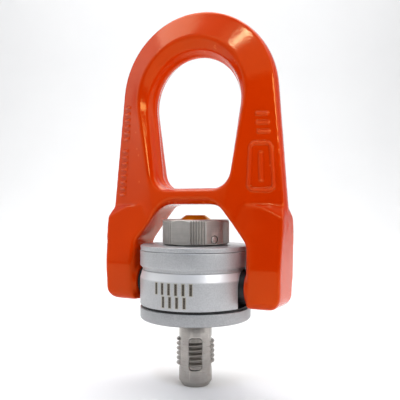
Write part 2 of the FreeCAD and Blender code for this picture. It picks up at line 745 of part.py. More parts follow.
# ---------------------------------------------------------------- lifting ring: legs
def leg_solid(direction):
    """Lower leg: a section across the thickness crossed with one seen along Y."""
    low, top = size("leg_bottom"), size("leg_block_top")
    start, outer = size("leg_block_start"), size("leg_outer")
    # half section across the thickness: (y, z)
    half_section = [(0.0, low), (5.8, low), (7.4, low + 0.8), (8.4, low + 2.8),
                    (9.2, 21.5), (7.4, 41.0), (7.0, top), (0.0, top)]
    outline = [Vector(start, y, z) for y, z in half_section]
    outline += [Vector(start, -y, z) for y, z in reversed(half_section[1:-1])]
    block = prism_solid(outline, Vector(outer + 1 - start, 0, 0))

    # section seen along Y: (x, z), with a rounded outer lower corner
    rounding = size("sole_round")
    sole_end = outer - size("sole_inset") - rounding
    section = [(start, low), (sole_end, low)]
    for angle in (15, 30, 45, 60, 75, 90):
        turn = math.radians(angle)
        section.append((sole_end + rounding * math.sin(turn),
                        low + rounding - rounding * math.cos(turn)))
    section += [(outer - 0.15, 30.0), (outer, 36.0), (outer - 0.1, 42.5), (38.9, top),
                (start, top)]
    block = block.common(prism_solid([Vector(x, -20, z) for x, z in section],
                                     Vector(0, 40, 0)))

    def shoulder_wire(side, x):
        """Section at x of what lies outside the sloping shoulder plane."""
        def plane_y(z):
            return side * (19.8 - 0.406 * x + 0.9 * (45.6 - z))
        return closed([Vector(x, plane_y(70.0), 70.0), Vector(x, plane_y(20.0), 20.0),
                       Vector(x, side * 80.0, 20.0), Vector(x, side * 80.0, 70.0)])

    for side in (1, -1):
        # vertical outer edges are eased
        block = block.cut(prism_solid(
            [Vector(41.2, side * 7.0, 0), Vector(38.4, side * 9.8, 0),
             Vector(41.2, side * 9.8, 0)], Vector(0, 0, 60)))
        block = block.cut(lofted(shoulder_wire(side, 5.0), shoulder_wire(side, 45.0)))
    if direction < 0:
        block = block.mirror(ORIGIN, AXIS_X)
    return block


# ---------------------------------------------------------------- lifting ring: arch
def round_corner(before, corner, after, radius):
    """Start, middle and end of a fillet at a corner between two neighbours."""
    back = (before - corner).normalize()
    ahead = (after - corner).normalize()
    angle = math.acos(max(-1, min(1, back.dot(ahead))))
    reach = radius / math.tan(angle / 2)
    bisector = (back + ahead).normalize()
    centre = corner + bisector * (radius / math.sin(angle / 2))
    return corner + back * reach, centre - bisector * radius, corner + ahead * reach


def arch_wire(grow, y, lift=0.0):
    """The arch grown all round, and raised by lift more at its top only."""
    run = size("leg_inner") - size("arch_flat")
    fall = size("arch_corner") - size("arch_top")
    length = math.hypot(run, fall)
    # a point on the sloping side, moved outwards by grow
    slope_x = size("arch_flat") - fall / length * grow
    slope_z = size("arch_top") + run / length * grow
    top = size("arch_top") + grow + lift
    side = size("leg_inner") + grow
    crown = Vector(0, y, top)
    upper = Vector(slope_x + (top - slope_z) * run / fall, y, top)
    lower = Vector(side, y, slope_z + (side - slope_x) * fall / run)
    foot = Vector(side, y, size("leg_bottom") - 5)
    start_1, middle_1, end_1 = round_corner(crown, upper, lower, size("arch_round") + grow)
    start_2, middle_2, end_2 = round_corner(upper, lower, foot, size("arch_low_round") + grow)
    return Part.Wire([
        line(across(start_1), start_1),
        arc(start_1, middle_1, end_1),
        line(end_1, start_2),
        arc(start_2, middle_2, end_2),
        line(end_2, foot),
        line(foot, across(foot)),
        line(across(foot), across(end_2)),
        arc(across(end_2), across(middle_2), across(start_2)),
        line(across(start_2), across(end_1)),
        arc(across(end_1), across(middle_1), across(start_1)),
    ])


def arch_solid():
    """Opening over the grip ring and between the legs, chamfered at both faces."""
    ease, top_ease = size("arch_ease"), size("arch_top_ease")
    flare, top_flare = 5.0, 4.0
    arch = lofted(arch_wire(0.0, -ease), arch_wire(0.0, ease))
    for side in (1, -1):
        arch = arch.fuse(lofted(arch_wire(0.0, side * ease),
                                arch_wire(flare, side * (ease + flare))))
        # wider chamfer under the crossbar
        arch = arch.fuse(lofted(arch_wire(0.0, side * top_ease),
                                arch_wire(0.0, side * (top_ease + top_flare), top_flare)))
    return arch


# ---------------------------------------------------------------- lifting ring: assembly
def make_lifting_ring(lean):
    forged = bow_solid().fuse([leg_solid(1), leg_solid(-1)])
    forging = feature("ring_forging", forged.cut(arch_solid()).removeSplitter())
    # bosses and trunnions run from inside the legs towards the axis: (side, start)
    bosses = [cylinder_x("ring_boss_" + side, "boss_radius", "leg_inner-boss_face+2", start)
              for side, start in (("right", "boss_face"), ("left", "0-leg_inner-2"))]
    trunnions = [cylinder_x("ring_trunnion_" + side, "trunnion_core",
                            "leg_inner-trunnion_end+3", start)
                 for side, start in (("right", "trunnion_end"), ("left", "0-leg_inner-3"))]
    ring = fuse("lifting_ring_fuse", [forging] + bosses + trunnions)
    ring.Refine = True
    doc.recompute()
    keep(ring, "lifting_ring", lean)


def make_trunnion_sleeves(lean):
    for side, start in (("right", "sleeve_end"), ("left", "0-boss_face")):
        label = "trunnion_sleeve_" + side
        outer, inner = [cylinder_x(label + suffix, radius, "boss_face-sleeve_end", start)
                        for suffix, radius in (("_outer", "sleeve_radius"),
                                               ("_inner", "trunnion_core"))]
        keep(cut(label + "_tube", outer, inner), label, lean)


# ---------------------------------------------------------------- build
make_base_flange()
make_lower_washer()
make_swivel_body()
make_swivel_bush()
make_upper_washer()
make_thrust_plate()
make_stud()
make_end_plug()
make_retaining_ring()
make_grip_ring()
make_lock_pins()
make_push_button()
make_pusher_rod()
make_return_spring()
make_thread_segments()
make_segment_rings()
# the ring leans a little towards +Y about the trunnion axis
ring_lean = Placement(ORIGIN, Rotation(AXIS_X, -size("ring_lean_deg")),
                      Vector(0, 0, size("axis_height")))
make_lifting_ring(ring_lean)
make_trunnion_sleeves(ring_lean)

# ---------------------------------------------------------------- check and write
doc.recompute()
os.makedirs("parts", exist_ok=True)
for obj in doc.Objects:
    bad = [state for state in obj.State if state in ("Invalid", "Error")]
    if bad:
        raise RuntimeError("%s is %s" % (obj.Name, bad))
for obj in parts:
    if obj.Shape.isNull() or not obj.Shape.isValid():
        raise RuntimeError("bad shape: " + obj.Label)
    obj.Shape.exportStep("parts/%s.step" % obj.Label)
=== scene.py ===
# Lifting ring on a swivel, held by an expanding stud: an orange forged ring on two trunnions,
# a zinc swivel body on a base flange, and a stainless head with a push button on top.
# The stud stands along Z, with z = 0 on the underside of the flange. The trunnions lie
# along X, the ring stands in the XZ plane, the front is -Y and the right is +X.
# Sizes are in mm and are scaled to metres when a mesh is made; lights and camera use metres.
import bpy
import bmesh
import math
from mathutils import Vector, Matrix
from mathutils.bvhtree import BVHTree


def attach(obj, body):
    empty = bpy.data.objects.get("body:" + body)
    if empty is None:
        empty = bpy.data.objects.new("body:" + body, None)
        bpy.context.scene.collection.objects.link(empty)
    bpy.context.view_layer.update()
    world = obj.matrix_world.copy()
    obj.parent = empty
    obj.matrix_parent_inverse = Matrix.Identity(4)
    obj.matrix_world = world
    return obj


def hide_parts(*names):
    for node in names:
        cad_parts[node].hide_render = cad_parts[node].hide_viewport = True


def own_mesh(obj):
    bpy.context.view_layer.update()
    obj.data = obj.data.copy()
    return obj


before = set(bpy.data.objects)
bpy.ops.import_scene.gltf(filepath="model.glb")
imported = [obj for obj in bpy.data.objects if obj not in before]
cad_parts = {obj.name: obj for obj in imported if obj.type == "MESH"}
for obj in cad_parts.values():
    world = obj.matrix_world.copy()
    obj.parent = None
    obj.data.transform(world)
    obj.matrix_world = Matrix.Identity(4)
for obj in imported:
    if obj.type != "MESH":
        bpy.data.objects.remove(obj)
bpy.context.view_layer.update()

MM = 0.001
SCENE = bpy.context.scene

# Heights and radii shared by several pieces
AXIS_Z = 14.0         # trunnion axis
WALL_R = 23.1         # outer wall of flange and swivel body
FLANGE_TOP = 5.0
BUSH_TOP = 28.4       # top of the flange's bush, where the thrust plate starts
PLATE_TOP = 30.3
PIN_Z = 32.9          # grip pins and their holes
STUD_FOOT = -28.0
PLUG_TOP = -25.2
PLUG_R = 4.4
SPRING_FOOT = 10.0    # step in the stud's bore
SPRING_LENGTH = 26.15

# Angles
LEAN = math.radians(-1.6)          # the ring leans back about the trunnion axis
STUD_CLOCK = math.radians(26.3)    # azimuth of a stud window; the others follow every 90 degrees
GRIP_CLOCK = math.radians(29.8)    # azimuth of a flat of the grip ring
GRIP_TURN = GRIP_CLOCK - math.radians(90)
PIN_ANGLES = (30.0, 210.0)         # degrees, front and back pin, before GRIP_TURN
VIEW_TURN = math.radians(26.3)     # the camera stands this far round from the front, to the right


# ------------------------------------------------------------------ mesh helpers
def new_object(name, verts, faces):
    mesh = bpy.data.meshes.new(name)
    mesh.from_pydata([Vector(v) * MM for v in verts], [], faces)
    mesh.validate()
    ob = bpy.data.objects.new(name, mesh)
    SCENE.collection.objects.link(ob)
    return ob


def recalc(ob):
    bm = bmesh.new()
    bm.from_mesh(ob.data)
    bmesh.ops.recalc_face_normals(bm, faces=bm.faces)
    bm.to_mesh(ob.data)
    bm.free()
    return ob


def arc_points(centre, radius, start, end, steps):
    angles = [start + (end - start) * i / steps for i in range(steps + 1)]
    return [(centre[0] + radius * math.cos(t), centre[1] + radius * math.sin(t)) for t in angles]


def line_points(start, end, steps):
    """Points along a line, without its end."""
    return [(start[0] + (end[0] - start[0]) * i / steps,
             start[1] + (end[1] - start[1]) * i / steps) for i in range(steps)]


def rounded(points, steps=5, closed=True):
    """points: (x, y, radius) in 2-D. Corners with a radius become arcs."""
    out = []
    count = len(points)
    for i, point in enumerate(points):
        x, y = point[0], point[1]
        radius = point[2] if len(point) > 2 else 0.0
        if radius <= 0 or (not closed and i in (0, count - 1)):
            out.append((x, y))
            continue
        before = Vector(points[i - 1][:2]) - Vector((x, y))
        after = Vector(points[(i + 1) % count][:2]) - Vector((x, y))
        before_length, after_length = before.length, after.length
        before.normalize()
        after.normalize()
        corner = math.acos(max(-1.0, min(1.0, before.dot(after))))
        if corner > math.radians(178):
            out.append((x, y))
            continue
        # the arc takes no more than 0.49 of either neighbouring edge
        cut = min(radius / math.tan(corner / 2), before_length * 0.49, after_length * 0.49)
        radius = cut * math.tan(corner / 2)
        middle = (before + after).normalized()
        centre = Vector((x, y)) + middle * (radius / math.sin(corner / 2))
        first = Vector((x, y)) + before * cut
        last = Vector((x, y)) + after * cut
        start = math.atan2(first.y - centre.y, first.x - centre.x)
        end = math.atan2(last.y - centre.y, last.x - centre.x)
        sweep = (end - start + math.pi) % (2 * math.pi) - math.pi
        for k in range(steps + 1):
            t = start + sweep * k / steps
            out.append((centre.x + radius * math.cos(t), centre.y + radius * math.sin(t)))
    return out


def lathe(name, profile, seg=192, arc=5, across_at=None):
    """Solid of revolution about Z, or about a line along X at height across_at.

    profile: closed list of (radius, distance along the axis, corner radius).
    Points on the axis are allowed.
    """
    verts, rings = [], []
    for radius, along in rounded(profile, arc):
        if radius < 1e-6:
            rings.append([len(verts)])
            verts.append((0.0, 0.0, along))
        else:
            rings.append(list(range(len(verts), len(verts) + seg)))
            for k in range(seg):
                t = 2 * math.pi * k / seg
                verts.append((radius * math.cos(t), radius * math.sin(t), along))
    faces = []
    for i, a in enumerate(rings):
        b = rings[(i + 1) % len(rings)]
        if len(a) == 1 and len(b) == 1:
            continue
        for k in range(seg):
            k2 = (k + 1) % seg
            if len(a) == 1:
                faces.append((a[0], b[k], b[k2]))
            elif len(b) == 1:
                faces.append((a[k], b[0], a[k2]))
            else:
                faces.append((a[k], b[k], b[k2], a[k2]))
    if across_at is not None:
        verts = [(z, y, x + across_at) for x, y, z in verts]
    return recalc(new_object(name, verts, faces))


def trunnion_lathe(name, profile, side, seg, arc=5):
    """Lathe on the trunnion axis; side is 1 for right and -1 for left."""
    ob = lathe(name, profile, seg, arc, across_at=AXIS_Z)
    if side < 0:
        ob.data.transform(Matrix.Scale(-1, 4, (1, 0, 0)))
        recalc(ob)
    return ob


def skin(name, layers):
    """Closed skin through layers of closed curves with equal point counts; ends are capped."""
    n = len(layers[0])
    last = (len(layers) - 1) * n
    faces = [tuple(range(n - 1, -1, -1)), tuple(range(last, last + n))]
    for j in range(len(layers) - 1):
        for i in range(n):
            a, b = j * n + i, j * n + (i + 1) % n
            faces.append((a, b, b + n, a + n))
    return recalc(new_object(name, [p for layer in layers for p in layer], faces))


def strip(name, stations):
    """Skin through (y, curve) stations, each curve a list of (x, z)."""
    return skin(name, [[(x, y, z) for x, z in curve] for y, curve in stations])


def along_x(u, v, w):
    return (w, u, v)


def along_z(u, v, w):
    return (u, v, w)


def prism(name, outline, depth, place=along_x):
    """Closed prism: place maps outline (u, v) and depth w to (x, y, z)."""
    n = len(outline)
    verts = [place(u, v, w) for w in depth for u, v in outline]
    faces = [tuple(range(n - 1, -1, -1)), tuple(range(n, 2 * n))]
    faces += [(i, (i + 1) % n, n + (i + 1) % n, n + i) for i in range(n)]
    return recalc(new_object(name, verts, faces))


def baked(ob):
    """Applies the object's modifiers to its mesh."""
    depsgraph = bpy.context.evaluated_depsgraph_get()
    depsgraph.update()
    mesh = bpy.data.meshes.new_from_object(ob.evaluated_get(depsgraph))
    ob.modifiers.clear()
    old = ob.data
    ob.data = mesh
    bpy.data.meshes.remove(old)
    return ob


def boolean(ob, other, operation="DIFFERENCE"):
    """Combines ob with other and removes other."""
    modifier = ob.modifiers.new("bool", "BOOLEAN")
    modifier.operation = operation
    modifier.object = other
    modifier.solver = "EXACT"
    baked(ob)
    bpy.data.objects.remove(other)


def merge(objects, name):
    """Joins untransformed objects into a new one and removes them."""
    bm = bmesh.new()
    for ob in objects:
        bm.from_mesh(ob.data)
    mesh = bpy.data.meshes.new(name)
    bm.to_mesh(mesh)
    bm.free()
    for ob in objects:
        bpy.data.objects.remove(ob)
    ob = bpy.data.objects.new(name, mesh)
    SCENE.collection.objects.link(ob)
    return ob


def remesh(ob, voxel, relax_steps):
    """Rebuilds the skin on voxels of the given size, then relaxes it."""
    modifier = ob.modifiers.new("vox", "REMESH")
    modifier.mode = "VOXEL"
    modifier.voxel_size = voxel * MM
    modifier.use_smooth_shade = True
    baked(ob)
    modifier = ob.modifiers.new("relax", "SMOOTH")
    modifier.iterations = relax_steps
    modifier.factor = 0.5
    baked(ob)


def bevel(ob, width, segments):
    modifier = ob.modifiers.new("edge", "BEVEL")
    modifier.width = width * MM
    modifier.segments = segments
    modifier.limit_method = "ANGLE"
    modifier.angle_limit = math.radians(40)
    modifier.harden_normals = True
    ob.modifiers.new("normals", "WEIGHTED_NORMAL").keep_sharp = True
    baked(ob)


def turned_about_z(ob, angle):
    ob.data.transform(Matrix.Rotation(angle, 4, "Z"))
    return ob


def leaned(ob):
    """Leans a piece of the ring about the trunnion axis."""
    pivot = Vector((0, 0, AXIS_Z * MM))
    lean = Matrix.Rotation(LEAN, 4, "X")
    ob.data.transform(Matrix.Translation(pivot) @ lean @ Matrix.Translation(-pivot))


def shade(ob, angle=None):
    """Smooth shading, with edges above angle degrees kept sharp."""
    for polygon in ob.data.polygons:
        polygon.use_smooth = True
    if angle is not None:
        ob.data.set_sharp_from_angle(angle=math.radians(angle))


def finish_piece(ob, material, body, node, angle=32):
    """Dresses a piece, puts it on its body and hides the CAD node it replaces."""
    ob.data.materials.clear()
    ob.data.materials.append(material)
    shade(ob, angle)
    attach(ob, body)
    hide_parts(node)


# ------------------------------------------------------------------ material helpers
def scaled(colour, factor):
    return tuple(min(1.0, c * factor) for c in colour)


class Net:
    """A Principled material, with short calls for the nodes that feed it."""

    def __init__(self, name):
        self.material = bpy.data.materials.new(name)
        self.material.use_nodes = True
        self.tree = self.material.node_tree
        self.tree.nodes.clear()
        output = self.node("ShaderNodeOutputMaterial")
        self.bsdf = self.node("ShaderNodeBsdfPrincipled")
        self.link(self.bsdf.outputs[0], output.inputs[0])
        self.coords = self.node("ShaderNodeTexCoord").outputs["Object"]
        self.normal = None

    def node(self, kind, **settings):
        node = self.tree.nodes.new(kind)
        for key, value in settings.items():
            setattr(node, key, value)
        return node

    def link(self, source, target):
        self.tree.links.new(source, target)

    def put(self, socket, value):
        if isinstance(value, bpy.types.NodeSocket):
            self.link(value, socket)
        else:
            socket.default_value = value

    def set(self, **inputs):
        """Principled inputs, with _ for each space in their names."""
        for key, value in inputs.items():
            self.put(self.bsdf.inputs[key.replace("_", " ")], value)

    def math(self, operation, *values):
        node = self.node("ShaderNodeMath", operation=operation)
        for socket, value in zip(node.inputs, values):
            self.put(socket, value)
        return node.outputs[0]

    def within(self, value, centre, half):
        """1 where value lies less than half from centre, both in mm."""
        offset = self.math("SUBTRACT", value, centre * MM)
        return self.math("LESS_THAN", self.math("ABSOLUTE", offset), half * MM)

    def noise(self, scale, detail=3.0, rough=0.5, vector=None):
        node = self.node("ShaderNodeTexNoise")
        self.link(vector or self.coords, node.inputs["Vector"])
        node.inputs["Scale"].default_value = scale
        node.inputs["Detail"].default_value = detail
        node.inputs["Roughness"].default_value = rough
        return node.outputs["Fac"]

    def stretch(self, scale):
        node = self.node("ShaderNodeMapping")
        self.link(self.coords, node.inputs["Vector"])
        node.inputs["Scale"].default_value = scale
        return node.outputs[0]

    def xyz(self):
        node = self.node("ShaderNodeSeparateXYZ")
        self.link(self.coords, node.inputs[0])
        return node.outputs

    def pointiness(self):
        return self.node("ShaderNodeNewGeometry").outputs["Pointiness"]

    def ramp(self, factor, low, high):
        """low and high: (position, colour)."""
        node = self.node("ShaderNodeValToRGB")
        for element, (position, colour) in zip(node.color_ramp.elements, (low, high)):
            element.position = position
            element.color = (*colour, 1.0)
        self.link(factor, node.inputs[0])
        return node.outputs["Color"]

    def mix(self, base, over, amount):
        node = self.node("ShaderNodeMix", data_type="RGBA")
        self.put(node.inputs[0], amount)
        for index, colour in ((6, base), (7, over)):      # the colour sockets A and B
            is_socket = isinstance(colour, bpy.types.NodeSocket)
            self.put(node.inputs[index], colour if is_socket else (*colour, 1.0))
        return node.outputs[2]

    def remap(self, value, span, to):
        node = self.node("ShaderNodeMapRange")
        for socket, number in zip(node.inputs, (value, *span, *to)):
            self.put(socket, number)
        return node.outputs[0]

    def bump(self, height, strength, depth):
        """Adds a bump layer, depth in mm, over those already there."""
        node = self.node("ShaderNodeBump")
        node.inputs["Strength"].default_value = strength
        node.inputs["Distance"].default_value = depth * MM
        self.link(height, node.inputs["Height"])
        if self.normal is not None:
            self.link(self.normal, node.inputs["Normal"])
        self.normal = node.outputs[0]
        self.link(self.normal, self.bsdf.inputs["Normal"])


# ------------------------------------------------------------------ materials
def paint_material():
    """Orange powder coat, with painted shade in hollows and a painted highlight on crests."""
    net = Net("orange_powder_coat")
    big = net.noise(scale=38.0, detail=2.0)
    mid = net.noise(scale=210.0, rough=0.6)
    peel = net.noise(scale=780.0, detail=2.0)
    fine = net.noise(scale=2600.0, detail=2.0)
    col = net.ramp(big, low=(0.30, (0.605, 0.0285, 0.0)), high=(0.70, (0.675, 0.0370, 0.0)))
    specks = net.remap(fine, span=(0.64, 0.78), to=(0.0, 0.22))
    col = net.mix(col, over=(0.40, 0.008, 0.0), amount=specks)
    pointiness = net.pointiness()
    # painted highlight on crests and painted shade in hollows, found from the mesh's pointiness
    crest_highlight = net.remap(pointiness, span=(0.516, 0.565), to=(0.0, 0.40))
    hollow_shade = net.remap(pointiness, span=(0.44, 0.492), to=(0.75, 0.0))
    col = net.mix(col, over=(0.30, 0.006, 0.0), amount=hollow_shade)
    col = net.mix(col, over=(0.80, 0.120, 0.030), amount=crest_highlight)
    net.set(Base_Color=col, Roughness=net.remap(mid, span=(0.3, 0.7), to=(0.09, 0.16)),
            Specular_IOR_Level=0.52, Specular_Tint=(1.0, 0.66, 0.18, 1.0))
    net.bump(big, strength=0.25, depth=0.9)
    net.bump(mid, strength=0.16, depth=0.20)
    net.bump(peel, strength=0.36, depth=0.10)
    net.bump(fine, strength=0.20, depth=0.03)
    return net.material


ZINC_METALLIC = 0.62
# Rows of upright etched strokes: left, right (mm along the wall, 0 facing the camera),
# bottom, top (heights), pitch
ETCHED_ROWS = (
    (-18.1, -0.35, 12.2, 16.6, 2.958),
    (-14.7, -2.9, 7.3, 11.5, 2.95),
)
STROKE_HALF = 0.50
HALO_GROWTH = 0.28        # how far the scorched halo reaches past a stroke


def etch_and_highlight_cone(net, col):
    """Paints a highlight on the cone above the wall and burns in the rows; returns colour and
    metallic.
    """
    x, y, z = net.xyz()
    above_wall = net.remap(z, span=(16.6 * MM, 17.4 * MM), to=(0.0, 1.0))
    below_rim = net.remap(z, span=(20.0 * MM, 20.3 * MM), to=(1.0, 0.0))
    cone = net.math("MULTIPLY", above_wall, below_rim)
    # painted highlight on the cone band between the wall and the rim
    cone_highlight = net.math("MULTIPLY", cone, 0.85)
    col = net.mix(col, over=(0.84, 0.845, 0.860), amount=cone_highlight)
    azimuth = net.math("ARCTAN2", y, x)
    from_view = net.math("SUBTRACT", azimuth, VIEW_TURN - math.radians(90))
    along = net.math("MULTIPLY", from_view, WALL_R * MM)
    masks = {}
    for left, right, bottom, top, pitch in ETCHED_ROWS:
        cell = net.math("MODULO", net.math("ADD", along, -left * MM), pitch * MM)
        for growth in (0.0, HALO_GROWTH):
            stroke = net.within(cell, pitch * 0.5, STROKE_HALF + growth)
            row = net.within(along, 0.5 * (left + right), 0.5 * (right - left))
            band = net.within(z, 0.5 * (bottom + top), 0.5 * (top - bottom) + growth)
            mask = net.math("MULTIPLY", net.math("MULTIPLY", stroke, row), band)
            if growth in masks:
                mask = net.math("MAXIMUM", masks[growth], mask)
            masks[growth] = mask
    near_side = net.math("LESS_THAN", net.math("ABSOLUTE", along), 20 * MM)
    ink = net.math("MULTIPLY", masks[0.0], near_side)
    halo = net.math("MULTIPLY", masks[HALO_GROWTH], near_side)
    burn = net.noise(scale=3000.0, detail=2.0, rough=0.6)
    col = net.mix(col, over=(0.42, 0.37, 0.24), amount=net.math("MULTIPLY", halo, 0.55))
    burnt = net.math("MULTIPLY", ink, net.remap(burn, span=(0.3, 0.6), to=(0.80, 1.0)))
    col = net.mix(col, over=(0.035, 0.022, 0.014), amount=burnt)
    ink_loss = net.math("MULTIPLY", ink, 0.5)         # the ink is less metallic
    return col, net.math("SUBTRACT", ZINC_METALLIC, ink_loss)


def zinc_material(name, tone=1.0, speck=0.35, etched_and_highlit=False):
    """Zinc plate; tone scales the base grey and speck is the weight of the dark grain."""
    net = Net(name)
    cloud = net.noise(scale=60.0, rough=0.6)
    grain = net.noise(scale=1900.0, rough=0.65)
    fine = net.noise(scale=5200.0, detail=2.0, rough=0.6)
    col = net.ramp(cloud, low=(0.30, scaled((0.485, 0.49, 0.497), tone)),
                   high=(0.72, scaled((0.580, 0.585, 0.592), tone)))
    dark = net.remap(grain, span=(0.38, 0.62), to=(speck, 0.0))
    col = net.mix(col, over=(0.30, 0.305, 0.315), amount=dark)
    glint = net.remap(fine, span=(0.60, 0.75), to=(0.0, 0.35))
    col = net.mix(col, over=(0.76, 0.765, 0.775), amount=glint)
    dirt = net.noise(scale=420.0, detail=4.0, rough=0.7)
    dirt = net.remap(dirt, span=(0.70, 0.78), to=(0.0, 0.55))
    col = net.mix(col, over=(0.12, 0.12, 0.13), amount=dirt)
    rough = net.remap(grain, span=(0.3, 0.7), to=(0.38, 0.54))
    metallic = ZINC_METALLIC
    # the etched rows, and a painted highlight on the cone
    if etched_and_highlit:
        col, metallic = etch_and_highlight_cone(net, col)
    net.set(Base_Color=col, Metallic=metallic, Roughness=rough)
    net.bump(cloud, strength=0.08, depth=0.3)
    net.bump(grain, strength=0.22, depth=0.05)
    net.bump(fine, strength=0.12, depth=0.02)
    return net.material


# Stretch of the machining lines: flat rings round Z, or an even grain
RINGS = (0.02, 0.02, 1.0)
EVEN = (0.9, 0.9, 0.9)


def steel_material(name, tone=(0.40, 0.375, 0.35), rough=(0.26, 0.40), stretch=RINGS,
                   lines=5200.0, metallic=1.0):
    """Bare metal with fine machining lines, slight colour drift and a painted highlight on its
    edges.
    """
    net = Net(name)
    turning = net.noise(scale=lines, detail=2.0, rough=0.7, vector=net.stretch(stretch))
    cloud = net.noise(scale=110.0, rough=0.6)
    grain = net.noise(scale=3000.0, detail=2.0, rough=0.6)
    drift = net.remap(cloud, span=(0.3, 0.7), to=(0.0, 1.0))
    col = net.mix(scaled(tone, 0.80), over=scaled(tone, 1.16), amount=drift)
    grooves = net.remap(turning, span=(0.35, 0.65), to=(0.30, 0.0))
    col = net.mix(col, over=scaled(tone, 0.55), amount=grooves)
    # painted highlight: edges found from the mesh's pointiness are made paler
    edge = net.remap(net.pointiness(), span=(0.5, 0.54), to=(0.0, 1.0))
    col = net.mix(col, over=scaled(tone, 1.5), amount=net.math("MULTIPLY", edge, 0.5))
    net.set(Base_Color=col, Metallic=metallic,
            Roughness=net.remap(turning, span=(0.3, 0.7), to=rough))
    net.bump(turning, strength=0.16, depth=0.03)
    net.bump(grain, strength=0.10, depth=0.02)
    return net.material


def button_material():
    """Bronze anodising over turned rings, which follow the distance from the Z axis."""
    net = Net("bronze_anodised")
    x, y, z = net.xyz()
    squares = net.math("ADD", net.math("MULTIPLY", x, x), net.math("MULTIPLY", y, y))
    radius_height = net.node("ShaderNodeCombineXYZ")
    net.link(net.math("SQRT", squares), radius_height.inputs[0])
    net.link(z, radius_height.inputs[2])
    rings = net.noise(scale=6500.0, detail=2.0, vector=radius_height.outputs[0])
    cloud = net.noise(scale=260.0, rough=0.6)
    col = net.ramp(cloud, low=(0.3, (0.80, 0.33, 0.005)), high=(0.7, (0.94, 0.43, 0.010)))
    grooves = net.remap(rings, span=(0.35, 0.65), to=(0.30, 0.0))
    col = net.mix(col, over=(0.52, 0.14, 0.003), amount=grooves)
    net.set(Base_Color=col, Metallic=0.80,
            Roughness=net.remap(rings, span=(0.3, 0.7), to=(0.26, 0.40)))
    net.bump(rings, strength=0.22, depth=0.03)
    net.bump(cloud, strength=0.05, depth=0.1)
    return net.material


def black_material(name, colour=(0.012, 0.012, 0.013), rough=(0.45, 0.62), metallic=0.0,
                   grain_bump=0.3):
    net = Net(name)
    cloud = net.noise(scale=180.0, rough=0.6)
    grain = net.noise(scale=2400.0, rough=0.7)
    drift = net.remap(cloud, span=(0.3, 0.7), to=(0.0, 1.0))
    col = net.mix(scaled(colour, 0.7), over=scaled(colour, 1.5), amount=drift)
    specks = net.remap(grain, span=(0.60, 0.72), to=(0.0, 0.6))
    col = net.mix(col, over=tuple(c * 5 + 0.02 for c in colour), amount=specks)
    net.set(Base_Color=col, Metallic=metallic,
            Roughness=net.remap(grain, span=(0.3, 0.7), to=rough))
    net.bump(grain, strength=grain_bump, depth=0.06)
    net.bump(cloud, strength=0.1, depth=0.2)
    return net.material


def floor_material():
    net = Net("pale_floor")
    cloud = net.noise(scale=9.0)
    net.set(Base_Color=net.mix((0.86, 0.86, 0.86), over=(0.90, 0.90, 0.90), amount=cloud),
            Roughness=0.75)
    return net.material


PAINT = paint_material()
ZINC = zinc_material("zinc_plate")
# zinc of the swivel body: etched rows and a painted highlight on its cone
ZINC_ETCHED_HIGHLIT = zinc_material("zinc_plate_etched_highlit", etched_and_highlit=True)
# darker copy of the zinc plate: painted shade on the flange, with a heavier dark grain
ZINC_BASE_SHADED = zinc_material("zinc_plate_flange_shaded", tone=0.84, speck=0.60)
STEEL = steel_material("stainless_turned")
STEEL_HEAD = steel_material("stainless_head", tone=(0.49, 0.462, 0.432), rough=(0.34, 0.48),
                            metallic=0.80)
STEEL_SEGMENT = steel_material("stainless_segment", tone=(0.30, 0.28, 0.255),
                               rough=(0.28, 0.42), stretch=EVEN, lines=2400.0)
STEEL_PIN = steel_material("pin_steel", tone=(0.62, 0.59, 0.56), rough=(0.36, 0.48),
                           stretch=EVEN, lines=1800.0)
BUTTON = button_material()
WASHER = black_material("slide_washer_black")
SLEEVE = black_material("sleeve_black", colour=(0.016, 0.016, 0.017), rough=(0.32, 0.5),
                        metallic=0.55, grain_bump=0.5)
BRONZE = steel_material("bearing_bronze", tone=(0.55, 0.36, 0.14), rough=(0.3, 0.45))
SPRING = steel_material("spring_wire", tone=(0.42, 0.42, 0.43), rough=(0.22, 0.34),
                        stretch=EVEN, lines=1500.0)


# ------------------------------------------------------------------ lifting ring: skin
# The ridge runs round the eye on both faces
RIDGE_R = 24.6
RIDGE_Z = 91.2
RIDGE_TAPER = 10.5       # degrees its flanks draw in downwards
RIDGE_Y = 8.2            # half the ring's thickness
LEG_FOOT = 38.0          # height where the legs run into the bosses
BOSS_TOP = 46.5


def upright(radius, centre, flare, offset):
    """(x, z) of an arch on straight legs that spread by flare degrees downwards."""
    angle = math.radians(flare)
    arc_r = radius + offset
    side_x, side_z = arc_r * math.cos(angle), centre + arc_r * math.sin(angle)
    foot_x = side_x + (side_z - LEG_FOOT) * math.tan(angle)
    return (line_points((foot_x, LEG_FOOT), (side_x, side_z), 60)
            + arc_points((0, centre), arc_r, angle, math.pi - angle, 150)[:-1]
            + line_points((-side_x, side_z), (-foot_x, LEG_FOOT), 60)
            + line_points((-foot_x, LEG_FOOT), (foot_x, LEG_FOOT), 60))


def eye(radius, centre, taper, offset, bottom, corner):
    """(x, z) of an eye: round top, flanks drawn in by taper degrees, rounded flat bottom."""
    angle = math.radians(taper)
    arc_r = radius + offset
    low = bottom - offset
    side_x, side_z = arc_r * math.cos(angle), centre - arc_r * math.sin(angle)
    corner_z = low + corner
    corner_x = side_x - (side_z - corner_z) * math.tan(angle) - corner / math.cos(angle)
    end_x, end_z = corner_x + corner * math.cos(angle), corner_z - corner * math.sin(angle)
    turn = arc_points((corner_x, corner_z), corner, -angle, -math.pi / 2, 16)[:-1]
    back_turn = arc_points((corner_x, corner_z), corner, -math.pi / 2, -angle, 16)[:-1]
    return (line_points((end_x, end_z), (side_x, side_z), 50)
            + arc_points((0, centre), arc_r, -angle, math.pi + angle, 150)[:-1]
            + line_points((-side_x, side_z), (-end_x, end_z), 50)
            + [(-x, z) for x, z in turn]
            + line_points((-corner_x, low), (corner_x, low), 30)
            + back_turn)


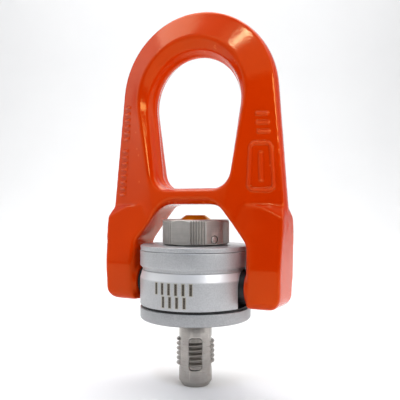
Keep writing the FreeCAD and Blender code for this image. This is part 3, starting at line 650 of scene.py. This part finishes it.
def arch_outline(offset, lift=0.0):
    """The opening over the grip ring, grown by offset all round and by lift at its top only."""
    slope_x, slope_z = 12.16, -15.93        # direction of the sloping side
    length = math.hypot(slope_x, slope_z)
    normal_x, normal_z = -slope_z / length, slope_x / length
    on_x, on_z = 13.14 + normal_x * offset, 47.0 + normal_z * offset
    top, side = 47.0 + offset + lift, 25.3 + offset
    upper = (on_x + (top - on_z) * slope_x / slope_z, top, 10.0 + offset)
    lower = (side, on_z + (side - on_x) * slope_z / slope_x, 6.0 + offset)
    half = rounded([(0.0, top), upper, lower, (side, 2.0)], 16, closed=False)
    return half + [(-x, z) for x, z in reversed(half[1:])]


def mirrored_stations(curves):
    """(y, curve) stations from the back face's, given outermost first, mirrored to the front."""
    return [(-y, curve) for y, curve in curves] + [(y, curve) for y, curve in reversed(curves)]


def ring_skin():
    """Arch with its faces running up to the ridge, and the eye cut through."""
    def outer(offset):
        return upright(35.0, 92.6, 4.95, offset)

    ridge = upright(RIDGE_R, RIDGE_Z, -RIDGE_TAPER, 0.4)
    ring = strip("ring_skin", mirrored_stations(
        [(RIDGE_Y, ridge), (3.4, outer(0.0)), (0.7, outer(0.4))]))

    def land(offset):
        return eye(20.0, 89.1, 7.0, offset, 54.0, 7.0)

    rim = eye(21.75, 89.75, 8.65, 0.0, 53.55, 8.0)
    mouth = eye(RIDGE_R, RIDGE_Z, RIDGE_TAPER, -0.4, 51.8, 8.8)
    beyond = eye(RIDGE_R, RIDGE_Z, RIDGE_TAPER, 1.6, 51.8, 9.3)
    boolean(ring, strip("eye_cut", mirrored_stations(
        [(RIDGE_Y + 2.0, beyond), (RIDGE_Y, mouth), (5.4, rim),
         (1.5, land(0.55)), (1.05, land(0.0))])))
    return ring


# Half side profile of a lower boss: y, z
BOSS_SIDE = [(0.0, 6.0), (5.8, 6.0), (7.4, 6.8), (8.4, 8.8), (9.2, 21.5), (7.4, 41.0),
             (7.0, BOSS_TOP), (0.0, BOSS_TOP)]
# Front profile of the right boss: x, z
BOSS_FRONT = ([(17.0, 6.0), (33.9, 6.0)]
              + arc_points((33.9, 11.4), 5.4, -math.pi / 2, 0.0, 14)[1:]
              + [(39.85, 30.0), (40.1, 36.0), (40.0, 42.5), (39.0, BOSS_TOP),
                 (17.0, BOSS_TOP)])
# Corner planed off the boss's outer upright edges: x, y
BOSS_CORNER = [(41.3, 7.0), (38.5, 9.8), (41.3, 9.8)]
# Corners of the shoulder cutter: x, z
SHOULDER = [(5.0, 70.0), (5.0, 20.0), (45.0, 20.0), (45.0, 70.0)]


def shoulder_cutter(side, face):
    """Block beyond a plane that thins the boss outwards and upwards."""
    def level(x, z):
        return 19.8 - 0.406 * x + 0.9 * (45.6 - z)

    verts = [(x * side, level(x, z) * face, z) for x, z in SHOULDER]
    verts += [(x * side, 90.0 * face, z) for x, z in SHOULDER]
    faces = [(0, 1, 2, 3), (7, 6, 5, 4), (0, 4, 5, 1), (1, 5, 6, 2), (2, 6, 7, 3), (3, 7, 4, 0)]
    return recalc(new_object("shoulder", verts, faces))


def lower_boss(side):
    """Side and front profiles crossed, with outer edges and shoulder planed off."""
    profile = BOSS_SIDE + [(-y, z) for y, z in reversed(BOSS_SIDE[1:-1])]
    boss = prism("boss", profile, (17.0 * side, 41.0 * side))
    front = prism("front", BOSS_FRONT, (-20, 20), lambda u, v, w: (u * side, w, v))
    boolean(boss, front, "INTERSECT")
    for face in (1, -1):
        boolean(boss, prism("side", BOSS_CORNER, (0, 60),
                            lambda u, v, w: (u * side, v * face, w)))
        boolean(boss, shoulder_cutter(side, face))
    return boss


def ring_blank():
    ring = ring_skin()
    for side in (1, -1):
        boolean(ring, lower_boss(side), "UNION")
    # the opening over the head, wider towards both faces
    boolean(ring, strip("arch", mirrored_stations(
        [(12.6, arch_outline(5.0)), (7.6, arch_outline(0.0))])))
    # the crossbar's underside, raised towards both faces
    boolean(ring, strip("under_crossbar", mirrored_stations(
        [(9.8, arch_outline(-0.02, 4.0)), (5.8, arch_outline(-0.02))])))
    for side in (1, -1):
        profile = [(0, 24.3), (8.2, 24.3, 0.8), (8.2, 27.3), (0, 27.3)]
        boolean(ring, trunnion_lathe("inner_boss", profile, side, 96), "UNION")
    return ring


# ------------------------------------------------------------------ lifting ring: marks
# Cross-section of a raised bead: fraction of half width, fraction of height
BEAD = ((-1.25, -1.0), (-1.1, 0.1), (-0.72, 0.85), (0.0, 1.0),
        (0.72, 0.85), (1.1, 0.1), (1.25, -1.0))
# Frame on the right leg: x, z, corner radius
MARK_FRAME = [(26.4, 71.0, 2.0), (34.0, 71.0, 2.0), (35.4, 52.6, 2.0), (25.6, 52.6, 2.0)]


def bead(path, closed, width, height):
    """A raised bead along a path of (place, normal) in metres."""
    n = len(path)
    half, rise = width * 0.5 * MM, height * MM
    verts, faces = [], []
    for i, (place, normal) in enumerate(path):
        before = path[(i - 1) % n][0] if closed or i > 0 else place
        after = path[(i + 1) % n][0] if closed or i < n - 1 else place
        across = (after - before).normalized().cross(normal).normalized()
        for u, v in BEAD:
            verts.append((place + across * (half * u) + normal * (rise * v)) / MM)
    k = len(BEAD)
    for i in range(n if closed else n - 1):
        start, end = i * k, ((i + 1) % n) * k
        for j in range(k):
            j2 = (j + 1) % k
            faces.append((start + j, start + j2, end + j2, end + j))
    if not closed:
        faces.append(tuple(range(k)))
        faces.append(tuple(range((n - 1) * k, n * k))[::-1])
    return recalc(new_object("mark", verts, faces))


def frame_path():
    """The frame's outline with points about 0.7 apart."""
    corners = rounded(MARK_FRAME, 6)
    path = []
    for i, start in enumerate(corners):
        end = corners[(i + 1) % len(corners)]
        length = math.hypot(end[0] - start[0], end[1] - start[1])
        path += line_points(start, end, max(1, int(length / 0.7)))
    return path


def raised_marks(ring):
    """Plain raised marks on both faces: bars and a frame on the leg that is on the right
    as seen from that face, dashes on the left one."""
    bm = bmesh.new()
    bm.from_mesh(ring.data)
    tree = BVHTree.FromBMesh(bm)
    bm.free()
    marks = []

    def mark(points, face, width, height, closed=False):
        """face is 1 for the front and -1 for the back; x is given as for the front."""
        path = []
        for x, z in points:
            hit = tree.ray_cast(Vector((face * x * MM, -face * 0.03, z * MM)),
                                Vector((0, face, 0)))
            if hit[0] is None:      # a mark that runs off the ring is left out
                return
            path.append(hit[:2])
        marks.append(bead(path, closed, width, height))

    for face in (1, -1):
        for z in (82.4, 78.9, 75.4):
            start = 28.3 + 0.09 * (82.4 - z)
            mark([(start + 0.5 * k, z) for k in range(10)], face, width=1.0, height=0.8)
        mark(frame_path(), face, width=1.05, height=0.8, closed=True)
        bar = [(30.2 + 0.3 * (k / 24.0), 67.4 - 11.2 * k / 24.0) for k in range(25)]
        mark(bar, face, width=1.4, height=0.75)
        z = 89.5
        while z > 51.0:
            x = 31.2 + (92.0 - z) * 0.072
            if abs(z - 72.5) > 1.6:     # one gap in the row
                dash = [(-(x - 1.5 + 0.5 * k), z) for k in range(7)]
                mark(dash, face, width=1.0, height=0.95)
            z -= 2.7
    return marks


def lifting_ring():
    name = "lifting_ring_forged"
    ring = ring_blank()
    remesh(ring, voxel=0.42, relax_steps=20)
    ring = merge([ring] + raised_marks(ring), name)
    remesh(ring, voxel=0.34, relax_steps=3)
    # trunnion cores, hidden in their sleeves
    core = [(0, 13.35), (5.45, 13.35, 0.4), (5.45, 26.0), (0, 26.0)]
    ring = merge([ring] + [trunnion_lathe("core", core, side, 96) for side in (1, -1)], name)
    leaned(ring)
    finish_piece(ring, PAINT, "ring", "lifting_ring", angle=None)


def trunnion_sleeves():
    profile = [(5.5, 13.0, 0.2), (7.0, 13.0, 0.4), (7.0, 24.25, 0.3), (5.5, 24.25, 0.1)]
    for side, word in ((1, "right"), (-1, "left")):
        sleeve = trunnion_lathe("sleeve_" + word, profile, side, 160, 4)
        leaned(sleeve)
        finish_piece(sleeve, SLEEVE, "ring", "trunnion_sleeve_" + word)


# ------------------------------------------------------------------ base, washer, body, plate
# All profiles from here on: radius, height, corner radius
def base_flange():
    base = lathe("base_flange", [
        (9.5, 0, 0.3), (WALL_R, 0, 1.1), (WALL_R, FLANGE_TOP, 0.35), (10.0, FLANGE_TOP),
        (10.0, BUSH_TOP, 0.3), (7.0, BUSH_TOP, 0.3), (7.0, 1.8), (9.5, 1.8)])
    finish_piece(base, ZINC_BASE_SHADED, "stud_base", "base_flange_bush")


def low_washer():
    washer = lathe("slide_washer_low", [
        (10.1, FLANGE_TOP), (22.2, FLANGE_TOP, 0.2), (22.2, 5.9, 0.2), (10.1, 5.9)])
    finish_piece(washer, WASHER, "stud_base", "lower_slide_washer")


def swivel_body():
    body = lathe("swivel_body_turned", [
        (11.0, 6.0), (WALL_R, 6.0, 0.5), (WALL_R, 17.0, 2.0), (22.2, 20.15, 0.1),
        (21.85, 20.35), (22.1, 20.55, 0.1), (22.1, 21.15, 0.15), (WALL_R, 22.15, 0.5),
        (WALL_R, 28.28, 0.45), (18.0, 28.28, 0.2), (18.0, 27.4), (11.0, 27.4)], 256)
    # trunnion seats: round on top, open at the bottom
    seat_r = 7.1
    seat = [(-seat_r, 0.0), (seat_r, 0.0)] + arc_points((0, AXIS_Z), seat_r, 0.0, math.pi, 48)
    for side in (1, -1):
        boolean(body, prism("seat", seat, (12.5 * side, 26.0 * side)))
    bevel(body, width=0.28, segments=3)
    finish_piece(body, ZINC_ETCHED_HIGHLIT, "swivel", "swivel_body")


def thrust_plate():
    plate = lathe("thrust_plate", [
        (7.1, BUSH_TOP), (10.0, BUSH_TOP), (10.0, 28.42), (22.9, 28.42, 0.15),
        (22.9, PLATE_TOP, 0.45), (7.1, PLATE_TOP)], 256)
    finish_piece(plate, ZINC, "stud_base", "top_thrust_plate")


# ------------------------------------------------------------------ stud
STUD_R = 6.85
STUD_PROFILE = [
    (PLUG_R, STUD_FOOT), (5.55, STUD_FOOT, 0.5), (STUD_R, -26.0, 0.5), (STUD_R, -21.3),
    (STUD_R, -20.0), (STUD_R, -17.0), (STUD_R, -14.0), (STUD_R, -11.0), (STUD_R, -8.4),
    (STUD_R, -7.1), (STUD_R, 0.0), (6.6, 0.0), (6.6, 0.75), (6.3, 0.75), (6.3, 1.85),
    (6.6, 1.85), (6.6, PLATE_TOP), (11.0, PLATE_TOP, 0.3), (11.0, 38.2), (7.9, 38.2),
    (7.9, 31.9), (5.2, 31.9), (5.2, SPRING_FOOT), (4.0, SPRING_FOOT), (4.0, PLUG_TOP),
    (PLUG_R, PLUG_TOP)]
# Window for a thread segment: y, z, corner radius
STUD_WINDOW = [(-2.80, -20.9, 1.5), (2.80, -20.9, 1.5), (2.80, -7.6, 1.5), (-2.80, -7.6, 1.5)]


def expanding_stud():
    stud = lathe("stud_turned", STUD_PROFILE)
    for k in range(4):
        window = prism("window", rounded(STUD_WINDOW, 10), (0.5, 12.0))
        boolean(stud, turned_about_z(window, math.radians(90 * k)))
    # sockets that line up with the grip pins once the stud is turned
    for angle in PIN_ANGLES:
        socket = lathe("socket", [(0, 9.0), (1.5, 9.0), (1.5, 14.0), (0, 14.0)], 48,
                       across_at=PIN_Z)
        boolean(stud, turned_about_z(socket, GRIP_TURN + math.radians(angle) - STUD_CLOCK))
    bevel(stud, width=0.10, segments=2)
    turned_about_z(stud, STUD_CLOCK)
    finish_piece(stud, STEEL, "stud_base", "expanding_stud")


def stud_plug():
    plug = lathe("stud_plug", [
        (0, STUD_FOOT), (PLUG_R, STUD_FOOT, 0.4), (PLUG_R, PLUG_TOP), (0, PLUG_TOP)], 128)
    corners = [math.radians(60 * k) for k in range(6)]
    outline = [(2.3 * math.cos(t), 2.3 * math.sin(t)) for t in corners]
    boolean(plug, prism("hex", outline, (STUD_FOOT - 0.5, -26.4), along_z))
    bevel(plug, width=0.12, segments=2)
    finish_piece(plug, STEEL, "stud_base", "end_plug")


# ------------------------------------------------------------------ grip ring and its pins
GRIP_FOOT, GRIP_TOP = 30.75, 40.8
GRIP_FLAT = 13.76         # from the axis to a flat
GRIP_CORNER_R = 14.3      # turned radius of the corners
GRIP_COLUMNS = 1440
GROOVE_PITCH = 4.3        # degrees, three grooves each side of a corner
GROOVE_DEPTH = 0.62
GRIP_LEVELS = ([GRIP_FOOT + rise for rise in (0, 0.12, 0.3, 0.5, 0.8, 1.4)]
               + [34.0, 36.0, 38.0]
               + [GRIP_TOP - drop for drop in (1.4, 1.0, 0.8, 0.6, 0.45, 0.3, 0.15, 0.05, 0)])
# Lip and bore from the top down: radius, height
GRIP_BORE = [(7.5, GRIP_TOP), (7.2, GRIP_TOP), (6.9, GRIP_TOP - 0.15),
             (6.75, GRIP_TOP - 0.45), (6.75, 38.3), (11.05, 38.3), (11.05, GRIP_FOOT)]


def grip_radius(angle):
    """Hexagon with turned corners that carry upright grooves."""
    from_corner = (math.degrees(angle) + 30.0) % 60.0 - 30.0
    groove = 0.0
    if abs(from_corner) < 3 * GROOVE_PITCH:
        pitches = from_corner / GROOVE_PITCH
        from_middle = pitches - math.floor(pitches) - 0.5
        groove = GROOVE_DEPTH * max(0.0, 1.0 - abs(from_middle) / 0.36) ** 0.8
    hexagon = GRIP_FLAT / math.cos(math.radians(30.0 - abs(from_corner)))
    return min(hexagon, GRIP_CORNER_R - groove)


def grip_ring():
    n = GRIP_COLUMNS
    angles = [2 * math.pi * k / n for k in range(n)]
    radii = [grip_radius(a) for a in angles]
    rows = []
    for z in GRIP_LEVELS:
        # chamfer cones at both ends limit the radius
        limit = min(GRIP_CORNER_R - 0.7 + (GRIP_TOP - z) * 0.875,
                    GRIP_CORNER_R - 0.75 + (z - GRIP_FOOT) * 1.6)
        inset = 0.06 if z in (GRIP_FOOT, GRIP_TOP) else 0.0
        rows.append(([min(r, limit) - inset for r in radii], z))
    rows += [([r] * n, z) for r, z in GRIP_BORE]
    verts = [(r * math.cos(a), r * math.sin(a), z)
             for row, z in rows for r, a in zip(row, angles)]
    outer = len(GRIP_LEVELS)
    faces = []
    for j in range(outer - 1):
        for k in range(n):
            a, b = j * n + k, j * n + (k + 1) % n
            faces.append((a, b, b + n, a + n))
    top, bore, last = (outer - 1) * n, outer * n, (len(rows) - 1) * n
    for k in range(n):
        k2 = (k + 1) % n
        faces.append((top + k, top + k2, bore + k2, bore + k))
        for start in range(bore, last, n):
            a, b = start + k, start + k2
            faces.append((a, b, b + n, a + n))
        faces.append((last + k, last + k2, k2, k))
    grip = recalc(new_object("grip_ring", verts, faces))
    for angle in PIN_ANGLES:
        hole = lathe("pin_hole", [
            (0, 9.0), (1.5, 9.0), (1.5, 12.3), (1.78, 12.3), (1.78, 15.0), (0, 15.0)], 64,
            across_at=PIN_Z)
        boolean(grip, turned_about_z(hole, math.radians(angle)))
    turned_about_z(grip, GRIP_TURN)
    finish_piece(grip, STEEL_HEAD, "stud_base", "hex_grip_ring", angle=28)


def grip_pins():
    for name, angle in zip(("grip_pin_front", "grip_pin_back"), PIN_ANGLES):
        pin = lathe(name + "_turned", [
            (0, 9.0), (1.5, 9.0), (1.5, 12.3), (1.38, 12.35), (1.38, 13.68, 0.2), (0, 13.68)],
            64, 4, across_at=PIN_Z)
        turned_about_z(pin, GRIP_TURN + math.radians(angle))
        finish_piece(pin, STEEL_PIN, "stud_base", name)


# ------------------------------------------------------------------ button and spring
def push_button():
    button = lathe("button_turned", [
        (0, 39.4), (2.5, 39.4), (2.5, 36.2), (7.6, 36.2, 0.2), (7.6, 38.2, 0.2), (6.5, 38.2),
        (6.5, 40.75, 0.35), (4.0, 42.6, 0.6), (0, 42.6)], 160, 6)
    finish_piece(button, BUTTON, "button", "push_button")


def return_spring():
    """Coil spring under the button, given a mesh of its own."""
    turns, coil_r, wire_r = 9.0, 4.55, 0.5
    low, high = SPRING_FOOT + wire_r, SPRING_FOOT + SPRING_LENGTH - wire_r
    steps, around = int(turns * 48), 12
    rise = (high - low) / (2 * math.pi * turns * coil_r)
    layers = []
    for i in range(steps + 1):
        t = i / steps
        a = 2 * math.pi * turns * t
        centre = Vector((coil_r * math.cos(a), coil_r * math.sin(a), low + (high - low) * t))
        tangent = Vector((-math.sin(a), math.cos(a), rise)).normalized()
        outward = Vector((math.cos(a), math.sin(a), 0))
        up = tangent.cross(outward).normalized()
        angles = [2 * math.pi * j / around for j in range(around)]
        layers.append([centre + outward * (wire_r * math.cos(b)) + up * (wire_r * math.sin(b))
                       for b in angles])
    spring = skin("button_spring", layers)
    finish_piece(spring, SPRING, "stud_base", "return_spring", angle=None)
    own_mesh(spring)


# ------------------------------------------------------------------ CAD nodes that stay
CAD_MATERIALS = {
    "pusher_rod": STEEL,
    "swivel_bush": BRONZE,
    "upper_slide_washer": WASHER,
    "stud_retaining_ring": SPRING,
    "segment_ring_upper": SPRING,
    "segment_ring_lower": SPRING,
    "thread_segment_1": STEEL_SEGMENT,
    "thread_segment_2": STEEL_SEGMENT,
    "thread_segment_3": STEEL_SEGMENT,
    "thread_segment_4": STEEL_SEGMENT,
}


def dress_cad_nodes():
    for name, material in CAD_MATERIALS.items():
        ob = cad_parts[name]
        if not ob.data.materials:
            ob.data.materials.append(material)
        for slot in ob.material_slots:
            slot.material = material


# ------------------------------------------------------------------ floor, lights, camera
def cam_space(right, toward, up):
    """Metres right of, toward the camera from, and above the object as the camera sees it."""
    right_x, right_y = math.cos(VIEW_TURN), math.sin(VIEW_TURN)
    toward_x, toward_y = math.sin(VIEW_TURN), -math.cos(VIEW_TURN)
    return (right * right_x + toward * toward_x, right * right_y + toward * toward_y, up)


def floor_cove():
    """Floor that sweeps up into a wall, square behind the object as the camera sees it."""
    floor_z = STUD_FOOT - 0.02
    # distance back, height over the floor
    profile = ([(-1600.0, 0.0), (550.0, 0.0)]
               + arc_points((550.0, 500.0), 500.0, -math.pi / 2, 0.0, 24)
               + [(1050.0, 2200.0)])
    verts = [(x, y, z + floor_z) for y, z in profile for x in (-2500.0, 2500.0)]
    faces = [(2 * i, 2 * i + 1, 2 * i + 3, 2 * i + 2) for i in range(len(profile) - 1)]
    cove = new_object("floor_cove", verts, faces)
    shade(cove)
    cove.data.materials.append(floor_material())
    cove.rotation_euler = (0, 0, VIEW_TURN)


def studio_world():
    """Light and reflections are bright from behind the object and dim from the camera's
    side; seen directly the studio is plain white."""
    world = bpy.data.worlds.new("studio")
    SCENE.world = world
    world.use_nodes = True
    tree = world.node_tree
    background = tree.nodes["Background"]
    coords = tree.nodes.new("ShaderNodeTexCoord")
    facing = tree.nodes.new("ShaderNodeVectorMath")
    facing.operation = "DOT_PRODUCT"
    facing.inputs[1].default_value = cam_space(0, 1, 0)
    tree.links.new(coords.outputs["Generated"], facing.inputs[0])
    gradient = tree.nodes.new("ShaderNodeMapRange")
    gradient.interpolation_type = "SMOOTHSTEP"
    gradient.inputs["From Min"].default_value = -0.45
    gradient.inputs["From Max"].default_value = 0.60
    gradient.inputs["To Min"].default_value = 0.74
    gradient.inputs["To Max"].default_value = 0.03
    tree.links.new(facing.outputs["Value"], gradient.inputs[0])
    background.inputs["Color"].default_value = (1.0, 1.0, 1.0, 1.0)
    rays = tree.nodes.new("ShaderNodeLightPath")
    strength = tree.nodes.new("ShaderNodeMix")
    strength.data_type = "FLOAT"
    tree.links.new(rays.outputs["Is Camera Ray"], strength.inputs[0])
    tree.links.new(gradient.outputs[0], strength.inputs[2])
    strength.inputs[3].default_value = 0.96       # strength seen directly
    tree.links.new(strength.outputs[0], background.inputs["Strength"])


def area(name, place, size, watts, target=(0, 0, 0.05), colour=(1, 1, 1)):
    """Area light: place as (right, toward, up) for cam_space, size as (width, height)."""
    light = bpy.data.lights.new(name, "AREA")
    light.shape = "RECTANGLE"
    light.size, light.size_y = size
    light.energy = watts
    light.color = colour
    ob = bpy.data.objects.new(name, light)
    SCENE.collection.objects.link(ob)
    ob.location = cam_space(*place)
    aim = Vector(target) - Vector(cam_space(*place))
    ob.rotation_euler = aim.to_track_quat("-Z", "Y").to_euler()


def lights():
    area("key_left", place=(-0.62, 0.14, 0.50), size=(1.0, 1.1), watts=1.6)
    area("top_front", place=(-0.02, 0.52, 0.60), size=(0.9, 0.5), watts=1.2)
    area("spark", place=(-0.10, 0.467, 0.745), size=(0.10, 0.06), watts=0.85,
         target=(0.02, 0, 0.113), colour=(0.50, 0.66, 1.0))
    area("low_front", place=(0.36, 0.46, 0.28), size=(0.30, 0.12), watts=1.15,
         target=(0, 0, 0.03))
    area("top", place=(0.0, -0.34, 0.74), size=(0.5, 0.5), watts=1.6)
    area("rim_right", place=(0.6, 0.10, 0.25), size=(0.35, 0.8), watts=0.6)
    area("back_wash", place=(0.0, -0.35, 0.9), size=(1.2, 1.2), watts=9.0,
         target=cam_space(0.0, -1.0, 0.3))


def camera():
    view = bpy.data.cameras.new("photo_view")
    view.sensor_width = 36.0
    view.lens = 49.716
    view.shift_x = 0.01125
    view.shift_y = 0.0175
    view.clip_start = 0.01
    ob = bpy.data.objects.new("photo_view", view)
    SCENE.collection.objects.link(ob)
    ob.location = cam_space(right=0.0, toward=0.232, up=0.046)
    ob.rotation_euler = (math.pi / 2, 0, VIEW_TURN)
    SCENE.camera = ob


lifting_ring()
trunnion_sleeves()
base_flange()
low_washer()
swivel_body()
thrust_plate()
expanding_stud()
stud_plug()
grip_ring()
grip_pins()
push_button()
return_spring()
dress_cad_nodes()
floor_cove()
studio_world()
lights()
camera()

SCENE.view_settings.view_transform = "Standard"
SCENE.view_settings.look = "None"
SCENE.view_settings.exposure = 0.0
